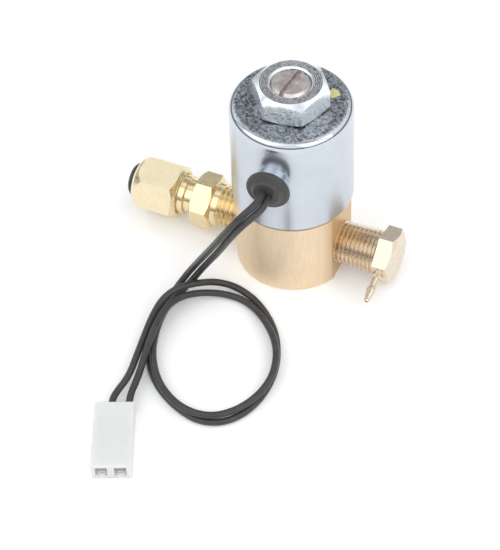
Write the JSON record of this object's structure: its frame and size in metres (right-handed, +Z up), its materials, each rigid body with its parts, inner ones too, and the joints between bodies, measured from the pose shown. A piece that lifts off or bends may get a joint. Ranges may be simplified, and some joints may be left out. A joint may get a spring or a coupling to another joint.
{
  "type": "solenoid valve",
  "caption": "Two-way solenoid valve: round brass body under a plated coil can, compression inlet, hex outlet with a side nozzle, and free leads to a small plug.",
  "frame": {"origin": "centre of the body's round base, on the surface it stands on", "axes": "+Z up the valve's axis towards the top nut; -X along the port axis out of the inlet; +X out of the outlet; the leads leave towards -Y"},
  "size_m": [0.0919, 0.1264, 0.0732],
  "materials": {
    "body_brass": "satin turned brass",
    "fitting_brass": "bright turned brass",
    "outlet_brass": "dull turned brass",
    "nut_brass": "bright brass with a faint hatch",
    "can_plating": "bright plated steel",
    "nut_plating": "bright plated steel",
    "core_steel": "machined magnetic steel",
    "stainless": "drawn stainless steel",
    "copper": "copper",
    "contact_tin": "tinned",
    "bobbin_nylon": "moulded",
    "coil_tape": "tape",
    "seal_rubber": "moulded rubber",
    "black_rubber": "moulded rubber",
    "lead_jacket": "satin wire insulation",
    "black_nylon": "moulded",
    "white_nylon": "moulded, slightly translucent"
  },
  "bodies": {
    "valve": {"valve_body": "body_brass", "flange_seal": "seal_rubber", "enclosing_tube": "stainless", "bonnet_ring": "fitting_brass", "core_stud": "core_steel", "shading_ring": "copper", "plunger_spring": "stainless", "bobbin": "bobbin_nylon", "winding": "copper", "winding_tape": "coil_tape", "lead_splices": "copper", "flux_plate": "core_steel", "wave_washer": "stainless", "coil_can": "can_plating", "top_nut": "nut_plating", "grommet": "black_rubber", "lead_tails": "lead_jacket", "outlet_fitting": "outlet_brass", "outlet_nozzle": "outlet_brass", "metering_insert": "stainless", "inlet_connector": "fitting_brass", "inlet_strainer": "stainless", "connector_housing": "white_nylon", "contact_1": "contact_tin", "contact_2": "contact_tin", "lead_1": "lead_jacket", "lead_2": "lead_jacket"},
    "plunger": {"plunger": "core_steel", "plunger_seal": "seal_rubber"},
    "inlet_sleeve": {"inlet_sleeve": "black_nylon"},
    "inlet_nut": {"inlet_nut": "nut_brass"}
  },
  "joints": [
    {"name": "plunger_lift", "type": "slide", "parent": "valve", "child": "plunger", "axis": [0, 0, 1], "range_m": [0, 0.0016], "stiffness_N_per_m": 150, "springref_m": -0.012, "deforming": ["plunger_spring"]},
    {"name": "inlet_nut_slide", "type": "slide", "parent": "valve", "child": "inlet_sleeve", "axis": [-1, 0, 0], "range_m": [0, 0.00317]},
    {"name": "inlet_nut_turn", "type": "hinge", "parent": "inlet_sleeve", "child": "inlet_nut", "pos_m": [-0.0465, 0, 0.0102], "axis": [-1, 0, 0], "range_deg": [0, 1080]}
  ],
  "couplings": [
    {"joint": "inlet_nut_turn", "follows": "inlet_nut_slide", "rad_per_m": 5938.7}
  ]
}
